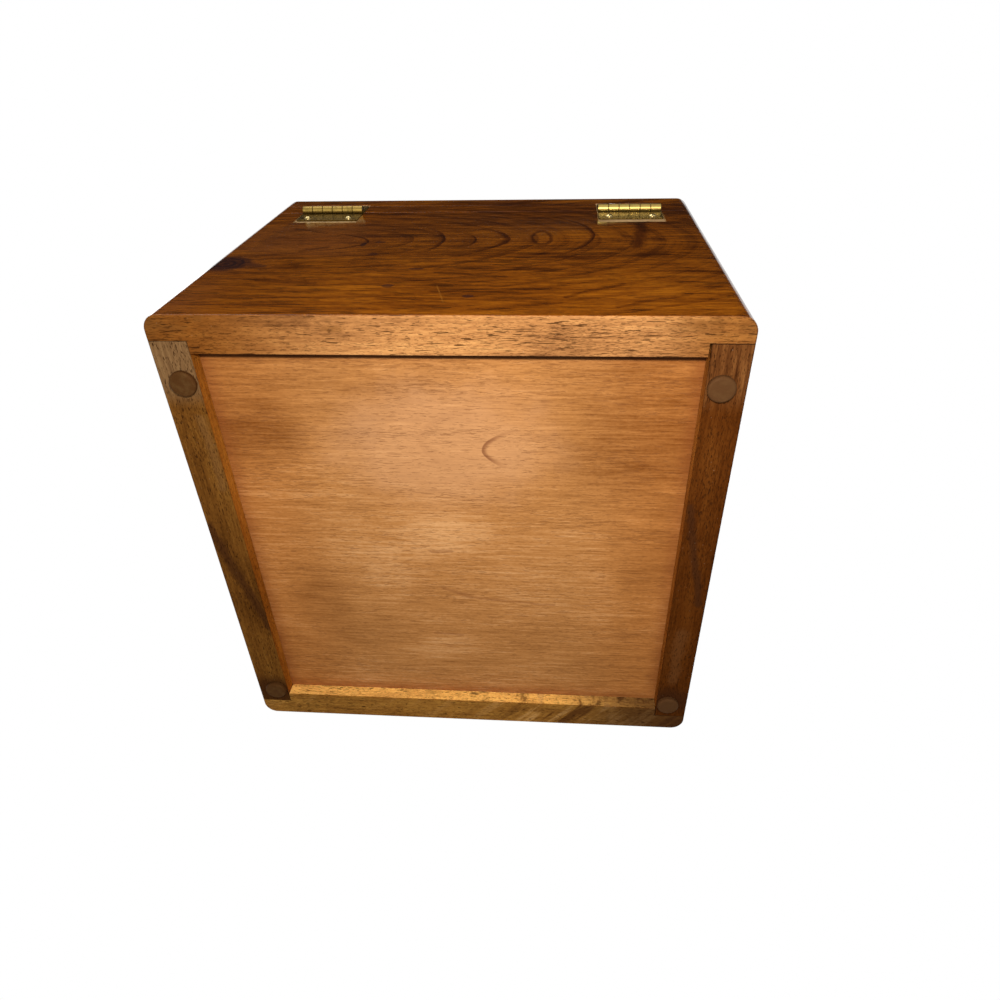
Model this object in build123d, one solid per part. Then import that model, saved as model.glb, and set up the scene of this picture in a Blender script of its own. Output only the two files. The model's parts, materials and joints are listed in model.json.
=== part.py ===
from build123d import *
import os

# Hinged wooden recipe box, millimetres.
# The box stands upright: +Z up, front towards -Y, back with the hinges towards +Y.
# Left is -X, right is +X. The origin is on the table, under the middle of the whole object,
# so the wooden box stands forward of it by half of what the hinge barrels stand out.

# Driving sizes of the box
box_width = 264.0
box_depth = 265.0
wall_thickness = 18.0
carcase_height = 176.0
corner_radius = 7.5
arris_chamfer = 0.7

# Lid, sawn from the same closed box, with a solid board glued on its rails
lid_rail_height = 16.0
lid_board_thickness = 18.0
lid_top_radius = 3.0
seam_gap = 0.3

# Rabbeted corner joints
lap_thickness = 12.0
shoulder_gap = 0.9

# Plywood bottom in a groove
bottom_recess = 8.0
plywood_thickness = 5.0
groove_depth = 6.0
groove_clearance = 0.3

# Rubber feet
foot_diameter = 12.6
foot_height = 3.0
foot_edge_chamfer = 1.2
foot_side_inset = 11.5
front_foot_inset = 23.5
back_foot_inset = 32.0

# Brass butt hinges
hinge_length = 38.0
hinge_inset = 40.0
leaf_thickness = 1.0
leaf_width = 17.0
leaf_corner_radius = 1.2
barrel_diameter = 5.0
curl_slit = 0.2
pin_clearance = 0.05
knuckles_per_hinge = 6
knuckle_gap = 0.2
knuckle_relief = 0.3
mortise_side_clearance = 0.5
mortise_overrun_left = 9.0
mortise_overrun_right = 6.5
mortise_overrun_lid = 2.0
barrel_relief = 0.4

# Slotted brass screws with raised heads
screw_end_inset = 6.3
screw_edge_inset = 4.0
screw_head_diameter = 4.2
folded_head_clearance = 0.4
screw_shank_diameter = 2.2
screw_length = 10.0
screw_slot_width = 0.7
screw_slot_depth = 0.6
screw_hole_clearance = 0.2
pilot_clearance = 0.05

# Margin within which an edge counts as lying at a height
height_margin = 0.01

# Sizes that follow from the driving sizes
half_width = box_width / 2
half_depth = box_depth / 2
rabbet_depth = wall_thickness - lap_thickness
inner_half_width = half_width - wall_thickness
inner_half_depth = half_depth - wall_thickness
side_panel_length = box_depth - 2 * lap_thickness
carcase_bottom = foot_height
seam_low = carcase_bottom + carcase_height
seam_high = seam_low + seam_gap
lid_rail_top = seam_high + lid_rail_height
lid_top = lid_rail_top + lid_board_thickness
plywood_bottom = carcase_bottom + bottom_recess
groove_reach_x = inner_half_width + groove_depth
groove_reach_y = inner_half_depth + min(groove_depth, rabbet_depth)
axis_z = (seam_low + seam_high) / 2
barrel_radius = barrel_diameter / 2
bore_radius = barrel_radius - leaf_thickness
pin_radius = bore_radius - pin_clearance
leaf_outside = barrel_radius - leaf_thickness
axis_y = half_depth + leaf_outside
leaf_back_y = half_depth - leaf_thickness
hinge_overhang = leaf_outside + barrel_radius
knuckle_pitch = hinge_length / knuckles_per_hinge
mortise_width = hinge_length + 2 * mortise_side_clearance
screw_spacing = hinge_length - 2 * screw_end_inset
screw_from_pin = leaf_width - screw_edge_inset
screw_head_height = leaf_outside - folded_head_clearance / 2


def block(x0, x1, y0, y1, z0, z1):
    """Straight block between two corners."""
    middle = ((x0 + x1) / 2, (y0 + y1) / 2, (z0 + z1) / 2)
    return Pos(*middle) * Box(x1 - x0, y1 - y0, z1 - z0)


def edges_at(shape, level):
    """Edges that lie at one height."""
    return shape.edges().filter_by_position(Axis.Z, level - height_margin, level + height_margin)


def rounded_outline(z0, z1):
    """Solid of the whole box in plan, with its four rounded upright corners."""
    outline = RectangleRounded(box_width, box_depth, corner_radius)
    return Pos(0, 0, z0) * extrude(outline, amount=z1 - z0)


def carcase_outline():
    """Outside of the box below the seam, its bottom arris eased."""
    solid = rounded_outline(carcase_bottom, seam_low)
    return chamfer(edges_at(solid, carcase_bottom), arris_chamfer)


def lid_outline():
    """Outside of the whole lid, its top edge rounded over."""
    solid = rounded_outline(seam_high, lid_top)
    return fillet(edges_at(solid, lid_top), lid_top_radius)


def end_panel(side, z0, z1, outline, gap_at_left_shoulder=0.0):
    """Front (side -1) or back (side 1) board, full width, with its ends rabbeted for the sides."""
    outer = side * half_depth
    inner = side * inner_half_depth
    slab = block(-half_width, half_width, min(outer, inner), max(outer, inner), z0, z1)
    lap_face = side * (half_depth - lap_thickness)
    for end in (-1, 1):
        gap = gap_at_left_shoulder if end < 0 else 0
        shoulder = end * (inner_half_width - gap)
        slab -= block(
            min(shoulder, end * half_width), max(shoulder, end * half_width),
            min(lap_face, inner), max(lap_face, inner), z0, z1,
        )
    return slab & outline


def side_panel(side, z0, z1, outline):
    """Left (side -1) or right (side 1) board, held between the laps of the front and back boards."""
    outer = side * half_width
    inner = side * inner_half_width
    reach = side_panel_length / 2
    return block(min(outer, inner), max(outer, inner), -reach, reach, z0, z1) & outline


def groove():
    """Groove in all four boards for the plywood bottom. It stops short of the laps at the corners."""
    top = plywood_bottom + plywood_thickness + groove_clearance
    return block(-groove_reach_x, groove_reach_x, -groove_reach_y, groove_reach_y, plywood_bottom, top)


def bottom_panel():
    """Plywood bottom with its edges in the groove."""
    reach_x = groove_reach_x - groove_clearance
    reach_y = groove_reach_y - groove_clearance
    return block(-reach_x, reach_x, -reach_y, reach_y, plywood_bottom, plywood_bottom + plywood_thickness)


def hinge_places():
    """Name and middle of each hinge, left and right."""
    return (("left", hinge_inset - half_width), ("right", half_width - hinge_inset))


def screw_places(middle):
    """Places of the two screws of one leaf, along the hinge."""
    return (middle - screw_spacing / 2, middle + screw_spacing / 2)


def hinge_pocket(middle, overrun_below):
    """Wood cut away for one hinge: mortises for both leaves and a cove behind the barrel."""
    half = mortise_width / 2
    low = axis_z - leaf_width - overrun_below
    high = axis_z + leaf_width + mortise_overrun_lid
    outside = axis_y + barrel_diameter
    pocket = block(middle - half, middle + half, leaf_back_y, outside, low, high)
    cove = Cylinder(barrel_radius + barrel_relief, mortise_width, rotation=(0, 90, 0))
    pocket += Pos(middle, axis_y, axis_z) * cove
    for direction in (-1, 1):
        for place in screw_places(middle):
            pocket += pilot_hole(place, axis_z + direction * screw_from_pin)
    return pocket


def pilot_hole(x, z):
    """Hole in the wood for one screw."""
    depth = screw_length - leaf_thickness + pilot_clearance
    radius = screw_shank_diameter / 2 + pilot_clearance
    hole = Cylinder(radius, depth, rotation=(90, 0, 0))
    return Pos(x, leaf_back_y - depth / 2, z) * hole


def hinge_pockets():
    """Wood cut away for both hinges."""
    overruns = {"left": mortise_overrun_left, "right": mortise_overrun_right}
    pockets = [hinge_pocket(middle, overruns[name]) for name, middle in hinge_places()]
    return pockets[0] + pockets[1]


def leaf_section(direction):
    """Section of a leaf across the pin: a flat plate whose edge is curled round the pin."""
    tube = Circle(barrel_radius) - Circle(bore_radius)
    reach = barrel_diameter
    slit = Pos(-leaf_outside + curl_slit - reach / 2, direction * reach / 2) * Rectangle(reach, reach)
    plate = Pos(-barrel_radius + leaf_thickness / 2, direction * leaf_width / 2)
    plate = plate * Rectangle(leaf_thickness, leaf_width)
    return tube - slit + plate


def along_pin(section, x0, x1):
    """Carry a section drawn across the pin from one station on it to another."""
    across = Plane(origin=(x0, axis_y, axis_z), x_dir=(0, 1, 0), z_dir=(1, 0, 0))
    return extrude(across * section, amount=x1 - x0)


def leaf(middle, direction):
    """One hinge leaf with its share of the knuckles, -1 for the box leaf and 1 for the lid leaf."""
    left = middle - hinge_length / 2
    right = middle + hinge_length / 2
    far = axis_z + direction * leaf_width
    root = axis_z + direction * (barrel_radius + knuckle_relief)
    body = block(left, right, leaf_back_y, half_depth, min(root, far), max(root, far))
    body = fillet(edges_at(body, far).filter_by(Axis.Y), leaf_corner_radius)
    section = leaf_section(direction)
    first = 0 if direction < 0 else 1
    for index in range(first, knuckles_per_hinge, 2):
        start_gap = knuckle_gap / 2 if index > 0 else 0
        stop_gap = knuckle_gap / 2 if index < knuckles_per_hinge - 1 else 0
        start = left + index * knuckle_pitch
        curl = along_pin(section, start + start_gap, start + knuckle_pitch - stop_gap)
        body += curl - leaf_far_half(middle, direction)
    for place in screw_places(middle):
        body -= leaf_hole(place, axis_z + direction * screw_from_pin)
    return body


def leaf_far_half(middle, direction):
    """Space beyond the knuckles' roots, where the plate alone gives the leaf its shape."""
    root = axis_z + direction * (barrel_radius + knuckle_relief)
    far = root + direction * 2 * leaf_width
    return block(
        middle - hinge_length, middle + hinge_length,
        half_depth - barrel_diameter, half_depth + barrel_diameter,
        min(root, far), max(root, far),
    )


def leaf_hole(x, z):
    """Clearance hole in a leaf for one screw."""
    radius = screw_shank_diameter / 2 + screw_hole_clearance
    hole = Cylinder(radius, 2 * leaf_thickness, rotation=(90, 0, 0))
    return Pos(x, half_depth - leaf_thickness / 2, z) * hole


def pin(middle):
    """Pin through the six knuckles of one hinge."""
    return Pos(middle, axis_y, axis_z) * Cylinder(pin_radius, hinge_length, rotation=(0, 90, 0))


def screw(x, z):
    """Screw with a raised slotted head, axis along Y, head outside."""
    head = Pos(0, 0, screw_head_height / 2) * Cylinder(screw_head_diameter / 2, screw_head_height)
    slot = Box(screw_head_diameter, screw_slot_width, screw_slot_depth)
    head -= Pos(0, 0, screw_head_height - screw_slot_depth / 2) * slot
    shank = Pos(0, 0, -screw_length / 2) * Cylinder(screw_shank_diameter / 2, screw_length)
    return Pos(x, half_depth, z) * Rot(-90, 0, 0) * (head + shank)


def screw_pair(middle, direction):
    """Two screws of one leaf, kept as separate solids."""
    height = axis_z + direction * screw_from_pin
    return Compound(children=[screw(place, height) for place in screw_places(middle)])


def lid_board():
    """Solid top board of the lid, above the rails."""
    return lid_outline() & block(-half_width, half_width, -half_depth, half_depth, lid_rail_top, lid_top)


def foot(x, y):
    """Round rubber foot stuck under a corner."""
    pad = Pos(x, y, foot_height / 2) * Cylinder(foot_diameter / 2, foot_height)
    return chamfer(edges_at(pad, 0), foot_edge_chamfer)


def carcase():
    """Four boards of the box below the seam."""
    span = (carcase_bottom, seam_low, carcase_outline())
    slot = groove()
    return {
        "back_panel": end_panel(1, *span, shoulder_gap) - slot - hinge_pockets(),
        "front_panel": end_panel(-1, *span) - slot,
        "left_side_panel": side_panel(-1, *span) - slot,
        "right_side_panel": side_panel(1, *span) - slot,
        "bottom_panel": bottom_panel(),
    }


def lid():
    """Four rails and the top board of the lid."""
    span = (seam_high, lid_rail_top, lid_outline())
    pockets = hinge_pockets()
    return {
        "lid_back_rail": end_panel(1, *span, shoulder_gap) - pockets,
        "lid_front_rail": end_panel(-1, *span),
        "lid_left_rail": side_panel(-1, *span),
        "lid_right_rail": side_panel(1, *span),
        "lid_top_board": lid_board() - pockets,
    }


def feet():
    """Four rubber feet, two near the front corners and two a little further in at the back."""
    x = half_width - foot_side_inset
    front = -half_depth + front_foot_inset
    back = half_depth - back_foot_inset
    return {
        "foot_front_left": foot(-x, front),
        "foot_front_right": foot(x, front),
        "foot_back_left": foot(-x, back),
        "foot_back_right": foot(x, back),
    }


def hinges():
    """Leaves, pins and screws of both hinges."""
    pieces = {}
    for name, middle in hinge_places():
        pieces[name + "_hinge_box_leaf"] = leaf(middle, -1)
        pieces[name + "_hinge_lid_leaf"] = leaf(middle, 1)
        pieces[name + "_hinge_pin"] = pin(middle)
        pieces[name + "_hinge_box_screws"] = screw_pair(middle, -1)
        pieces[name + "_hinge_lid_screws"] = screw_pair(middle, 1)
    return pieces


def build():
    """Write every piece to its own file."""
    os.makedirs("parts", exist_ok=True)
    pieces = {**carcase(), **lid(), **feet(), **hinges()}
    for name, shape in pieces.items():
        placed = Pos(0, -hinge_overhang / 2, 0) * shape
        export_step(placed, os.path.join("parts", name + ".step"))


build()
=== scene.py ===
"""A square wooden recipe box with a hinged lid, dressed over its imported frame.

The box stands upright: +Z is up, -Y the front, +Y the back with the two hinges, +X to the right.
Lengths are millimetres where a value or a comment doesn't say metres, and MM turns them into metres.
"""

import json
import logging
import math
from dataclasses import dataclass
from enum import Enum
from functools import reduce
from typing import Callable

import bmesh
import bpy
import numpy as np
from mathutils import Matrix, Vector

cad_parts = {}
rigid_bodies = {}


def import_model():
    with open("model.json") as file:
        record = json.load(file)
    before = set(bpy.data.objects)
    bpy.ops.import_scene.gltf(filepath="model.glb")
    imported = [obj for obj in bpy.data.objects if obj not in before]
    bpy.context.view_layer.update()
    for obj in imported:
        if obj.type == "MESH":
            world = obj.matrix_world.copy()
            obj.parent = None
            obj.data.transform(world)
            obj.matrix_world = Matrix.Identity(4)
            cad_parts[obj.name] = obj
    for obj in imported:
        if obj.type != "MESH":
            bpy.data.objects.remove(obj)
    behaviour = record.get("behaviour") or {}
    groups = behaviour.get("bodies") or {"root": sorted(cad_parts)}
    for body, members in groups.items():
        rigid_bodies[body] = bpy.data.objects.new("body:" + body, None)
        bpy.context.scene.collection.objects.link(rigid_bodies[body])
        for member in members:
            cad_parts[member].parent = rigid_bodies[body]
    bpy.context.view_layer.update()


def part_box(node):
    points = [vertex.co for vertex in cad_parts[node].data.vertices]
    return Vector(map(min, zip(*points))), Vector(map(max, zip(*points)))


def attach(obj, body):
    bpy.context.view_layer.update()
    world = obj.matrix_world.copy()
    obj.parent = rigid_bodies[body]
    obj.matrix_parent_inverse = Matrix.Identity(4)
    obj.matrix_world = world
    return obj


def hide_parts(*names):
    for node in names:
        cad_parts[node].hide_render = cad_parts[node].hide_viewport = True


MM = 0.001
LOG = logging.getLogger("recipe_box")

Rgb = tuple[float, float, float]
Triple = tuple[float, float, float]

# Faces and planes of the wood.
HALF_WIDTH = 132.0
BACK_FACE = 130.5
FRONT_FACE = -134.5
MIDDLE_Y = 0.5 * (BACK_FACE + FRONT_FACE)
HALF_DEPTH = 0.5 * (BACK_FACE - FRONT_FACE)
UNDERSIDE = 3.0
TOP_FACE = 213.3
SEAM = 179.15
RAIL_TOP = 195.3
SHOULDER = 114.0
BACK_LAP = 118.5
FRONT_LAP = -122.5
BACK_INNER = 112.5
FRONT_INNER = -116.5
BOARD = 18.0

# The hinges' middles and the start of their knuckles from the box's middle, and their mortises.
HINGE_MIDDLE = 92.0
HINGE_START = 73.0
KNUCKLE = 38.0 / 6.0
PLATE_FACE = 131.1
MORTISE_HALF = 19.7
MORTISE_BOTTOM = 153.0
MORTISE_TOP = 198.3

WHITE = (1.0, 1.0, 1.0)

# Edges that turn by more degrees than these stay sharp, on new meshes and on copies of CAD nodes.
NEW_SHARP = 35.0
COPY_SHARP = 30.0
# Points that are closer, in metres, become one: in new meshes, in their thin faces, and in copies.
NEW_MERGE = 1e-7
THIN_FACE = 1e-8
COPY_MERGE = 1e-6
# Faces that turn by less than this, in radians, become one in a copy.
FLAT_TURN = 0.005


def joining(operation: str) -> Callable[["Wire", "Source"], "Wire"]:
    """A method that joins a wire and another value with one Math node."""

    def method(self: "Wire", other: "Source") -> "Wire":
        """The new node's value."""
        return self.graph.math(operation, self, other)

    return method


class Wire:
    """An output socket that is added, multiplied and so on like a number."""

    def __init__(self, graph: "Graph", socket: bpy.types.NodeSocket) -> None:
        """Keeps the graph that the socket is in, so that a sum can add its node there."""
        self.graph = graph
        self.socket = socket

    def __rsub__(self, other: "Source") -> "Wire":
        """Other minus this."""
        return self.graph.math("SUBTRACT", other, self)

    def __abs__(self) -> "Wire":
        """The size of this without its sign."""
        return self.graph.math("ABSOLUTE", self)

    __add__ = __radd__ = joining("ADD")
    __mul__ = __rmul__ = joining("MULTIPLY")
    __sub__ = joining("SUBTRACT")
    __truediv__ = joining("DIVIDE")


Source = Wire | float | tuple
Masks = Wire | tuple[Wire, ...]


class Graph:
    """Adds shader nodes to one tree, and returns what comes out of them."""

    def __init__(self, tree: bpy.types.NodeTree) -> None:
        """Writes into tree."""
        self.tree = tree

    def node(self, kind: str, feeds: dict, **settings: object) -> bpy.types.Node:
        """Adds a node.

        Args:
            kind: Blender's name of the node's type.
            feeds: What each input takes, by its name or number: a wire, a number or a tuple.
            **settings: Properties of the node itself.

        Returns:
            The new node.
        """
        node = self.tree.nodes.new(kind)
        for name, value in settings.items():
            setattr(node, name, value)
        for key, value in feeds.items():
            self.feed(node.inputs[key], value)
        return node

    def feed(self, socket: bpy.types.NodeSocket, value: Source) -> None:
        """Links a wire to a socket, or writes a constant into it.

        Args:
            socket: The input.
            value: What it takes. A colour may have three values.
        """
        if isinstance(value, Wire):
            self.tree.links.new(value.socket, socket)
        elif isinstance(value, tuple) and socket.type == "RGBA" and len(value) == 3:
            socket.default_value = (*value, 1.0)
        else:
            socket.default_value = value

    def wire(self, node: bpy.types.Node, output: int | str = 0) -> Wire:
        """An output of a node."""
        return Wire(self, node.outputs[output])

    def math(self, operation: str, *values: Source) -> Wire:
        """One Math node over one to three values."""
        return self.wire(self.node("ShaderNodeMath", dict(enumerate(values)), operation=operation))

    def vectors(self, operation: str, *values: Source, output: str = "Vector") -> Wire:
        """One Vector Math node over one to three vectors."""
        node = self.node("ShaderNodeVectorMath", dict(enumerate(values)), operation=operation)
        return self.wire(node, output)

    def lesser(self, *values: Source) -> Wire:
        """The least of some values."""
        return reduce(lambda first, second: self.math("MINIMUM", first, second), values)

    def greater(self, *values: Source) -> Wire:
        """The greatest of some values."""
        return reduce(lambda first, second: self.math("MAXIMUM", first, second), values)

    def smooth(self, value: Source, low: Source, high: Source) -> Wire:
        """0 at low and 1 at high, with an S-shaped rise between. Low may be the greater."""
        feeds = {"Value": value, "From Min": low, "From Max": high}
        return self.wire(self.node("ShaderNodeMapRange", feeds, interpolation_type="SMOOTHSTEP"))

    def join(self, x: Source, y: Source, z: Source) -> Wire:
        """A vector of three values."""
        return self.wire(self.node("ShaderNodeCombineXYZ", {0: x, 1: y, 2: z}))

    def split(self, vector: Wire) -> tuple[Wire, Wire, Wire]:
        """The three values of a vector."""
        node = self.node("ShaderNodeSeparateXYZ", {0: vector})
        return self.wire(node, 0), self.wire(node, 1), self.wire(node, 2)

    def noise(self, at: Wire, per_mm: float | Triple, detail: float = 2.0, roughness: float = 0.5,
              seed: float = 0.0) -> Wire:
        """Smooth noise from 0 to 1 with a mean of a half.

        Args:
            at: The point, in millimetres.
            per_mm: Bumps in a millimetre, one number for all axes or one for each.
            detail: Octaves of finer noise.
            roughness: How strong the finer octaves are.
            seed: Moves the pattern.

        Returns:
            The noise's value.
        """
        factors = per_mm if isinstance(per_mm, tuple) else (per_mm, per_mm, per_mm)
        moved = self.vectors("MULTIPLY_ADD", at, factors, (seed, 1.7 * seed, 2.3 * seed))
        feeds = {"Vector": moved, "Scale": 1.0, "Detail": detail, "Roughness": roughness}
        return self.wire(self.node("ShaderNodeTexNoise", feeds))

    def ramp(self, value: Source, *stops: tuple[float, Rgb]) -> Wire:
        """A colour for each value from 0 to 1.

        Args:
            value: The value.
            *stops: Places and the colours there, blended between.

        Returns:
            The colour.
        """
        node = self.node("ShaderNodeValToRGB", {0: value})
        elements = node.color_ramp.elements
        while len(elements) < len(stops):
            elements.new(1.0)
        for element, (place, colour) in zip(elements, stops):
            element.position = place
            element.color = (*colour, 1.0)
        return self.wire(node)

    def mix(self, share: Source, first: Source, second: Source, blend: str = "MIX") -> Wire:
        """First where share is 0 and second where it is 1, as colours."""
        node = self.node("ShaderNodeMix", {0: share, 6: first, 7: second}, data_type="RGBA", blend_type=blend)
        return self.wire(node, 2)

    def tinted(self, colour: Source, tint: Source) -> Wire:
        """A colour times another."""
        return self.mix(1.0, colour, tint, "MULTIPLY")

    def moved(self, vector: Wire, shift: Triple) -> Wire:
        """A vector plus a constant one."""
        return self.vectors("ADD", vector, shift)

    def point(self) -> Wire:
        """The shaded point in the box's own frame, in millimetres."""
        place = self.wire(self.node("ShaderNodeTexCoord", {}), "Object")
        return self.vectors("MULTIPLY", place, (1.0 / MM, 1.0 / MM, 1.0 / MM))


def make_group(fill: Callable[..., Masks], vectors: str, numbers: str, outputs: str) -> bpy.types.NodeTree:
    """Makes a shader node group.

    Args:
        fill: Takes a graph and the inputs' wires, and returns the outputs' wires.
        vectors: The names of the vector inputs, which come first.
        numbers: The names of the number inputs.
        outputs: The names of the outputs.

    Returns:
        The group's tree, named as fill is.
    """
    tree = bpy.data.node_groups.new(fill.__name__, "ShaderNodeTree")
    for labels, kind, way in ((vectors, "Vector", "INPUT"), (numbers, "Float", "INPUT"),
                              (outputs, "Float", "OUTPUT")):
        for label in labels.split():
            tree.interface.new_socket(label, in_out=way, socket_type=f"NodeSocket{kind}")
    g = Graph(tree)
    entry = tree.nodes.new("NodeGroupInput")
    results = fill(g, *(g.wire(entry, label) for label in (vectors + " " + numbers).split()))
    g.node("NodeGroupOutput", dict(enumerate(results if isinstance(results, tuple) else (results,))))
    return tree


def effect(vectors: str, numbers: str,
           outputs: str) -> Callable[[Callable[..., Masks]], Callable[..., Masks]]:
    """Turns a function over wires into a node group that is built once and shared by the materials.

    Args:
        vectors: The names of the group's vector inputs, with spaces between.
        numbers: The names of its number inputs, which follow the vectors.
        outputs: The names of its outputs.

    Returns:
        A decorator. What it gives back takes a graph and the inputs, and places the group there.
    """

    def wrap(fill: Callable[..., Masks]) -> Callable[..., Masks]:
        """The function that places the group instead of filling it."""

        def place(g: Graph, *values: Source) -> Masks:
            """The placed group's output, or all of them in a tuple."""
            tree = bpy.data.node_groups.get(fill.__name__) or make_group(fill, vectors, numbers, outputs)
            node = g.node("ShaderNodeGroup", dict(enumerate(values)), node_tree=tree)
            wires = tuple(Wire(g, output) for output in node.outputs)
            return wires if len(wires) > 1 else wires[0]

        return place

    return wrap


@effect("Point", "", "Edge Under Inside Pocket Joint")
def place_on_box(g: Graph, at: Wire) -> Masks:
    """Where on the box a point is.

    Args:
        g: The group's graph.
        at: The point.

    Returns:
        Edge, the middle one of the three distances to the outer planes, because the least is the surface
        itself; and masks: the underside; inner faces, rims and mortises; the mortises; the glue lines.
    """
    x, y, z = g.split(at)
    side = HALF_WIDTH - abs(x)
    end = HALF_DEPTH - abs(y - MIDDLE_Y)
    level = g.lesser(z - UNDERSIDE, TOP_FACE - z)
    edge = side + end + level - g.lesser(side, end, level) - g.greater(side, end, level)
    ragged = 0.5 * g.noise(at, 0.3, 3.0, 0.6) - 0.25
    under = g.smooth(z + ragged, UNDERSIDE + 0.75, UNDERSIDE + 0.35)
    skin = g.lesser(side, end, TOP_FACE - z)
    rim = g.smooth(abs(z - SEAM), 0.24, 0.17) * g.smooth(skin, 1.2, 2.2)
    pocket = (g.smooth(y, BACK_FACE - 0.15, BACK_FACE - 0.3) * g.smooth(y, BACK_FACE - 4.5, BACK_FACE - 4.0)
              * g.smooth(abs(abs(x) - HINGE_MIDDLE), MORTISE_HALF + 0.1, MORTISE_HALF - 0.1)
              * g.smooth(z, MORTISE_BOTTOM, MORTISE_BOTTOM + 0.1)
              * g.smooth(z, MORTISE_TOP, MORTISE_TOP - 0.1))
    inside = g.greater(g.smooth(skin, 4.0, 5.0), rim, pocket) * (1.0 - under)
    on_rails = g.smooth(z, RAIL_TOP + 0.2, RAIL_TOP)
    lap = g.lesser(abs(y - BACK_LAP), abs(y - FRONT_LAP))
    lap_line = g.smooth(lap, 0.34, 0.1) * g.smooth(abs(x), SHOULDER - 1.5, SHOULDER - 0.5) * on_rails
    span = g.greater(g.smooth(y, BACK_INNER - 0.5, BACK_INNER) * g.smooth(y, BACK_LAP + 0.5, BACK_LAP),
                     g.smooth(y, FRONT_INNER + 0.5, FRONT_INNER) * g.smooth(y, FRONT_LAP - 0.5, FRONT_LAP))
    shoulder_line = g.smooth(abs(abs(x) - SHOULDER), 0.3, 0.1) * span * on_rails
    near = g.smooth(g.lesser(side, end), BOARD + 0.6, BOARD + 0.2)
    lid_line = 0.6 * g.smooth(abs(z - RAIL_TOP), 0.3, 0.1) * near
    joint = g.greater(lap_line, shoulder_line, lid_line) * g.smooth(g.noise(at, 0.11, 1.0), 0.22, 0.5)
    return edge, under, inside, pocket, joint


@dataclass(frozen=True)
class Place:
    """What place_on_box says of a point."""

    edge: Wire
    under: Wire
    inside: Wire
    pocket: Wire
    joint: Wire


@effect("Point Heart", "Taper Spacing Sway", "Late Fine")
def growth_rings(g: Graph, at: Wire, heart: Wire, taper: Wire, spacing: Wire, sway: Wire) -> Masks:
    """Growth rings of a board that was sawn from a tapering log.

    The distance from a heart line, which leaves the face by taper in each millimetre of grain and is bent
    by slow noise, is cut into rings. Each darkens slowly to its late wood and ends sharply.

    Args:
        g: The group's graph.
        at: The point as along, across and into the board.
        heart: A point of the heart line.
        taper: How fast the line leaves the face.
        spacing: A ring's width.
        sway: How far the noise bends the line.

    Returns:
        Masks of the late wood and of fine lines between the rings.
    """
    along, across, depth = g.split(g.vectors("SUBTRACT", at, heart))
    slow = g.noise(at, (0.011, 0.024, 0.024), 2.0, 0.45, 3.1) - 0.5
    slower = g.noise(at, (0.006, 0.016, 0.016), 2.0, 0.5, 9.7) - 0.5
    fast = g.noise(at, (0.03, 0.16, 0.16), 2.0, 0.5, 5.3) - 0.5
    across = across + slow * sway + fast * (0.16 * sway)
    depth = depth + taper * along + slower * sway
    count = g.math("SQRT", across * across + depth * depth) / spacing
    turn = g.math("FRACT", count)
    chance = g.wire(g.node("ShaderNodeTexWhiteNoise", {"W": g.math("FLOOR", count)}, noise_dimensions="1D"))
    late = g.smooth(turn, 0.42, 0.93) * g.smooth(turn, 1.0, 0.955) * (0.25 + 0.75 * chance)
    small = g.math("FRACT", count * 4.7)
    return late, g.smooth(small, 0.3, 0.85) * g.smooth(small, 1.0, 0.88)


@effect("Point", "Length Width Amount", "Mask")
def wood_pores(g: Graph, at: Wire, length: Wire, width: Wire, amount: Wire) -> Masks:
    """Open pores of the wood: short dark dashes along the grain, dots on end grain.

    Noise stretched along the grain is cut off at a level that slow noise moves, so that they come in crowds.

    Args:
        g: The group's graph.
        at: The point as along, across and into the board.
        length: A dash's length.
        width: Its width.
        amount: How many there are.

    Returns:
        Their mask.
    """
    along, across, depth = g.split(at)
    grit = g.noise(g.join(along / length, across / width, depth / width), 1.0, 1.0, 0.55)
    crowd = g.noise(at, (0.012, 0.07, 0.07), 2.0, 0.5, 2.2)
    level = 0.78 - 0.16 * amount - 0.3 * (crowd - 0.5)
    return g.smooth(grit, level, level + 0.045)


@effect("Point Apex", "Above Below Width Reach", "Mask")
def dark_arc(g: Graph, at: Wire, apex: Wire, above: Wire, below: Wire, width: Wire, reach: Wire) -> Masks:
    """One dark late-wood line that runs round the point of a flame figure.

    The line is along = apex + bend * across squared. The distance to it is taken square to the line.

    Args:
        g: The group's graph.
        at: The point.
        apex: The line's turning point.
        above: Its bend above the apex.
        below: Its bend below the apex.
        width: Its width.
        reach: How far from the apex it fades away.

    Returns:
        Its mask.
    """
    along, across, _ = g.split(g.vectors("SUBTRACT", at, apex))
    bend = below + (above - below) * g.smooth(across, -0.5, 0.5)
    wander = 2.4 * g.noise(at, (0.05, 0.09, 0.09), 2.0, 0.5, 4.4) - 1.2
    slope = 2.0 * bend * across
    off = (along - bend * across * across + wander) / g.math("SQRT", 1.0 + slope * slope)
    fade = g.smooth(abs(across), reach, reach * 0.35)
    return g.smooth(off, width * 2.4, 0.1) * g.smooth(off, -0.55 * width, -0.1) * fade


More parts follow.
